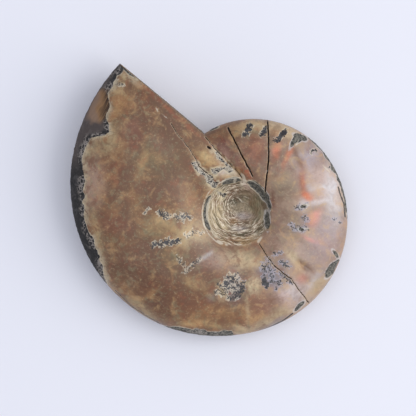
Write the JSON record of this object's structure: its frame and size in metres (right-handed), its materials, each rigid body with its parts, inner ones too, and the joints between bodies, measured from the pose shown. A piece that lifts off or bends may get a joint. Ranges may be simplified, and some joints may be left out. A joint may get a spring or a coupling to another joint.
{
  "type": "ammonite fossil",
  "caption": "Polished coiled ammonite fossil with a ground flat mouth and worn umbilici, lying on its flank as a display specimen.",
  "frame": {"origin": "middle of the bounding box's base, on the surface that the fossil rests on", "axes": "+Z up, off the flank that shows; +X to the right and +Y up as the fossil is seen from above with its mouth's tip at the upper left"},
  "size_m": [0.0922, 0.0906, 0.0267],
  "materials": {
    "fossil_stone": "polished brown and rose fossil shell over dark grey mudstone, with dendritic suture markings"
  },
  "bodies": {
    "root": {"ammonite": "fossil_stone"}
  },
  "joints": []
}
